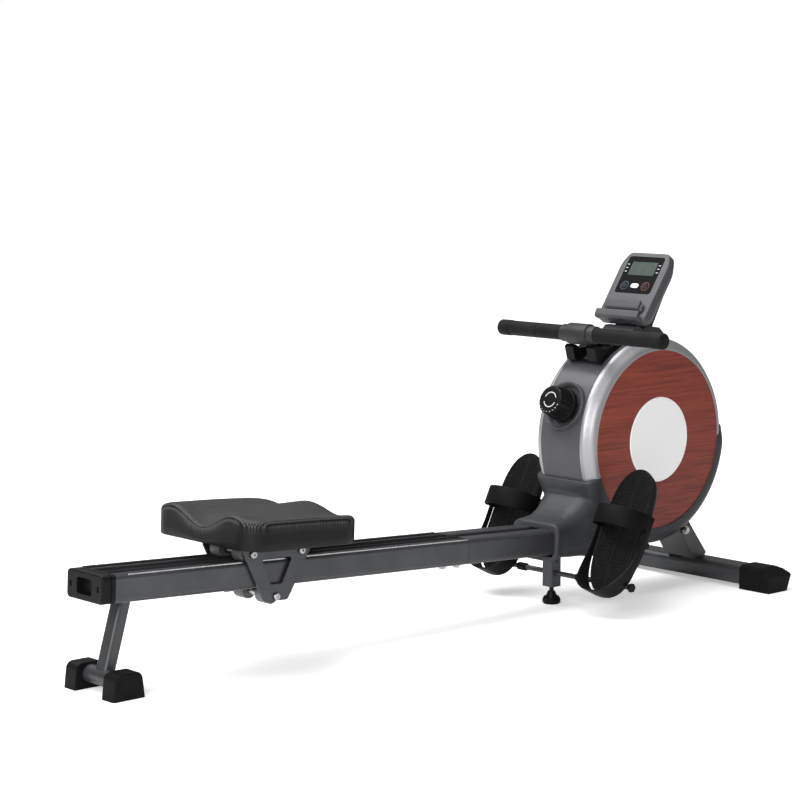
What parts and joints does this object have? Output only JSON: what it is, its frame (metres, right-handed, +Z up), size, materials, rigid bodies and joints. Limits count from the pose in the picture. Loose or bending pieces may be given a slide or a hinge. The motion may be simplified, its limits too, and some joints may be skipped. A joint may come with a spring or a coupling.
{
  "type": "rowing machine",
  "caption": "Home rowing machine with a seat that rolls on a sloping rail, a strap-drawn handle, a magnetically braked flywheel in a round housing and tilting footrests.",
  "frame": {"origin": "centre of the machine's footprint, on the floor", "axes": "+X along the rail towards the flywheel, +Y to the left of a seated rower, +Z up"},
  "size_m": [1.6998, 0.512, 0.744],
  "materials": {
    "rail": "satin powder coat",
    "frame": "satin powder coat",
    "bright_steel": "zinc plated",
    "black_plastic": "fine moulded grain",
    "grey_plastic": "satin moulded",
    "console_plastic": "satin moulded",
    "silver_plastic": "satin silver lacquer",
    "wood": "red-brown wood grain laminate",
    "badge_metal": "brushed",
    "rubber": "matt",
    "foam": "closed-cell foam",
    "roller": "smooth",
    "cast_iron": "machined",
    "webbing": "woven",
    "seat_skin": "moulded polyurethane with a dotted grain",
    "display": "reflective grey-green",
    "panel": "gloss black",
    "board": "circuit board",
    "button_left": "gloss",
    "button_centre": "gloss",
    "button_right": "gloss"
  },
  "bodies": {
    "frame": {"slide_rail": "rail", "rail_end_cap": "black_plastic", "front_beam": "rail", "frame_bolts": "bright_steel", "seat_stops": "rubber", "rear_leg": "frame", "rear_foot_caps": "rubber", "middle_leg": "frame", "front_stabilizer": "frame", "front_foot_caps": "rubber", "front_bracket": "frame", "inner_frame": "frame", "housing_axles": "bright_steel", "recoil_spring": "bright_steel", "drive_belt": "rubber", "tension_cable": "black_plastic", "speed_sensor": "black_plastic", "centre_band": "grey_plastic", "side_covers": "silver_plastic", "wood_panels": "wood", "badges": "badge_metal", "lower_shroud": "grey_plastic", "knob_cup": "black_plastic", "handle_cradle": "black_plastic", "console_stand": "grey_plastic", "console_housing": "console_plastic", "console_panel": "panel", "lcd_screen": "display", "circuit_board": "board", "phone_ledge": "console_plastic", "pedal_rods": "bright_steel", "pedal_rod_fittings": "black_plastic"},
    "seat": {"seat_cushion": "seat_skin", "seat_carriage": "frame", "seat_axles": "bright_steel"},
    "rear_rollers": {"rear_rollers": "roller"},
    "front_rollers": {"front_rollers": "roller"},
    "lower_rollers": {"lower_rollers": "roller"},
    "handle": {"handle_bar": "bright_steel", "handle_grips": "foam", "handle_joint": "grey_plastic", "pull_strap": "webbing"},
    "spool": {"strap_spool": "black_plastic"},
    "guide_roller": {"strap_guide_roller": "roller"},
    "drive_pulley": {"drive_pulley": "roller"},
    "flywheel": {"flywheel": "cast_iron"},
    "knob": {"resistance_knob": "black_plastic"},
    "magnet_yoke": {"magnet_yoke": "bright_steel"},
    "left_button": {"left_button": "button_left"},
    "centre_button": {"centre_button": "button_centre"},
    "right_button": {"right_button": "button_right"},
    "left_pedal": {"pedal_plate_left": "black_plastic", "pedal_base_left": "black_plastic", "foot_strap_left": "rubber"},
    "right_pedal": {"pedal_plate_right": "black_plastic", "pedal_base_right": "black_plastic", "foot_strap_right": "rubber"},
    "leveling_foot": {"leveling_foot": "black_plastic"},
    "left_wheel": {"transport_wheel_left": "black_plastic"},
    "right_wheel": {"transport_wheel_right": "black_plastic"}
  },
  "joints": [
    {"name": "seat_slide", "type": "slide", "parent": "frame", "child": "seat", "axis": [0.9989, 0, -0.0478], "range_m": [-0.245, 0.34]},
    {"name": "rear_roller_spin", "type": "hinge", "parent": "seat", "child": "rear_rollers", "pos_m": [-0.51327, 0, 0.22462], "axis": [0, 1, 0], "continuous": true},
    {"name": "front_roller_spin", "type": "hinge", "parent": "seat", "child": "front_rollers", "pos_m": [-0.39641, 0, 0.21902], "axis": [0, 1, 0], "continuous": true},
    {"name": "lower_roller_spin", "type": "hinge", "parent": "seat", "child": "lower_rollers", "pos_m": [-0.45887, 0, 0.13752], "axis": [0, 1, 0], "continuous": true},
    {"name": "handle_pull", "type": "slide", "parent": "frame", "child": "handle", "axis": [-0.9962, 0, 0.0872], "range_m": [0, 0.95], "deforming": ["pull_strap"]},
    {"name": "spool_spin", "type": "hinge", "parent": "frame", "child": "spool", "pos_m": [0.52, 0, 0.395], "axis": [0, 1, 0], "continuous": true},
    {"name": "guide_roller_spin", "type": "hinge", "parent": "frame", "child": "guide_roller", "pos_m": [0.494, 0, 0.548], "axis": [0, 1, 0], "continuous": true},
    {"name": "flywheel_spin", "type": "hinge", "parent": "frame", "child": "flywheel", "pos_m": [0.655, 0, 0.3], "axis": [0, 1, 0], "continuous": true},
    {"name": "drive_pulley_spin", "type": "hinge", "parent": "frame", "child": "drive_pulley", "pos_m": [0.52, 0, 0.395], "axis": [0, 1, 0], "continuous": true},
    {"name": "resistance_turn", "type": "hinge", "parent": "frame", "child": "knob", "pos_m": [0.38687, 0, 0.4252], "axis": [-0.9298, 0, 0.3681], "range_deg": [0, 270]},
    {"name": "magnet_swing", "type": "hinge", "parent": "frame", "child": "magnet_yoke", "pos_m": [0.76, 0, 0.372], "axis": [0, 1, 0], "range_deg": [-6, 0.5]},
    {"name": "left_button_press", "type": "slide", "parent": "frame", "child": "left_button", "axis": [0.824, 0, -0.5665], "range_m": [0, 0.0012], "stiffness_N_per_m": 400},
    {"name": "centre_button_press", "type": "slide", "parent": "frame", "child": "centre_button", "axis": [0.824, 0, -0.5665], "range_m": [0, 0.0012], "stiffness_N_per_m": 400},
    {"name": "right_button_press", "type": "slide", "parent": "frame", "child": "right_button", "axis": [0.824, 0, -0.5665], "range_m": [0, 0.0012], "stiffness_N_per_m": 400},
    {"name": "left_pedal_tilt", "type": "hinge", "parent": "frame", "child": "left_pedal", "pos_m": [0.352, 0, 0.068], "axis": [0, 1, 0], "range_deg": [-25, 0]},
    {"name": "right_pedal_tilt", "type": "hinge", "parent": "frame", "child": "right_pedal", "pos_m": [0.352, 0, 0.068], "axis": [0, 1, 0], "range_deg": [-25, 0]},
    {"name": "foot_height", "type": "slide", "parent": "frame", "child": "leveling_foot", "axis": [0, 0, 1], "range_m": [0, 0.01]},
    {"name": "left_wheel_spin", "type": "hinge", "parent": "frame", "child": "left_wheel", "pos_m": [0.828, 0.214, 0.019], "axis": [0, 1, 0], "continuous": true},
    {"name": "right_wheel_spin", "type": "hinge", "parent": "frame", "child": "right_wheel", "pos_m": [0.828, -0.214, 0.019], "axis": [0, 1, 0], "continuous": true}
  ],
  "couplings": [
    {"joint": "rear_roller_spin", "follows": "seat_slide", "rad_per_m": 58.824},
    {"joint": "front_roller_spin", "follows": "seat_slide", "rad_per_m": 58.824},
    {"joint": "lower_roller_spin", "follows": "seat_slide", "rad_per_m": -58.824},
    {"joint": "spool_spin", "follows": "handle_pull", "rad_per_m": -26.316},
    {"joint": "guide_roller_spin", "follows": "handle_pull", "rad_per_m": -95.238},
    {"joint": "drive_pulley_spin", "follows": "flywheel_spin", "ratio": 0.2528},
    {"joint": "magnet_swing", "follows": "resistance_turn", "ratio": -0.02222}
  ]
}
